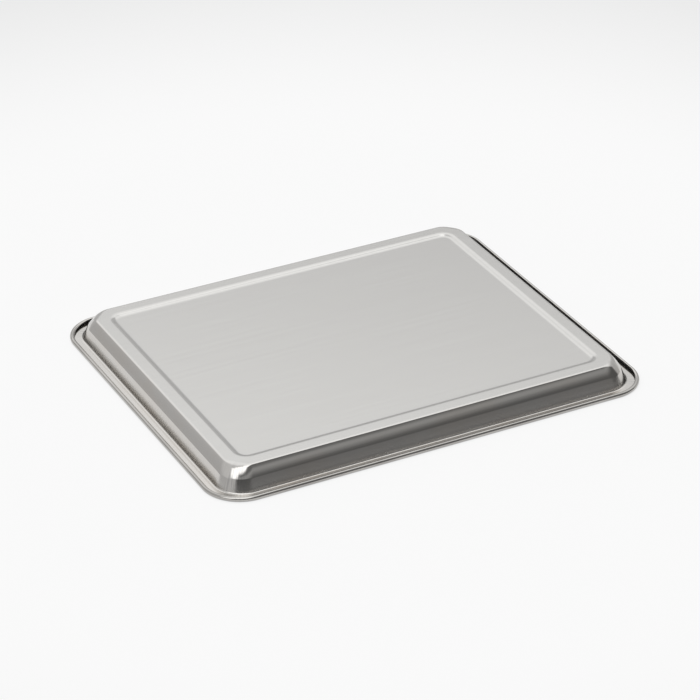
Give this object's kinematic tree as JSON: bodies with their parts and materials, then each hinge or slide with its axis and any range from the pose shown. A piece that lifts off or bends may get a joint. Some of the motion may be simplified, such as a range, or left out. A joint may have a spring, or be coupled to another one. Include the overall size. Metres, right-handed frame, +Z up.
{
  "type": "pharmacy tray",
  "caption": "Shallow rectangular stainless steel tray with rounded corners, a sunken middle in its base and a rolled, wired rim, standing upside down.",
  "frame": {"origin": "centre of the tray's outline, on the surface that its rim stands on", "axes": "+X along the tray's length, +Y across its width, +Z up, from the rim to the base of the upturned tray"},
  "size_m": [0.325, 0.265, 0.0164],
  "materials": {
    "stainless_sheet": "satin stainless steel, fine grain, slightly polished on the rolled rim",
    "steel_wire": "dark annealed steel wire, shaded inside the open roll of the rim"
  },
  "bodies": {
    "root": {"tray_pan": "stainless_sheet", "rim_wire": "steel_wire"}
  },
  "joints": []
}
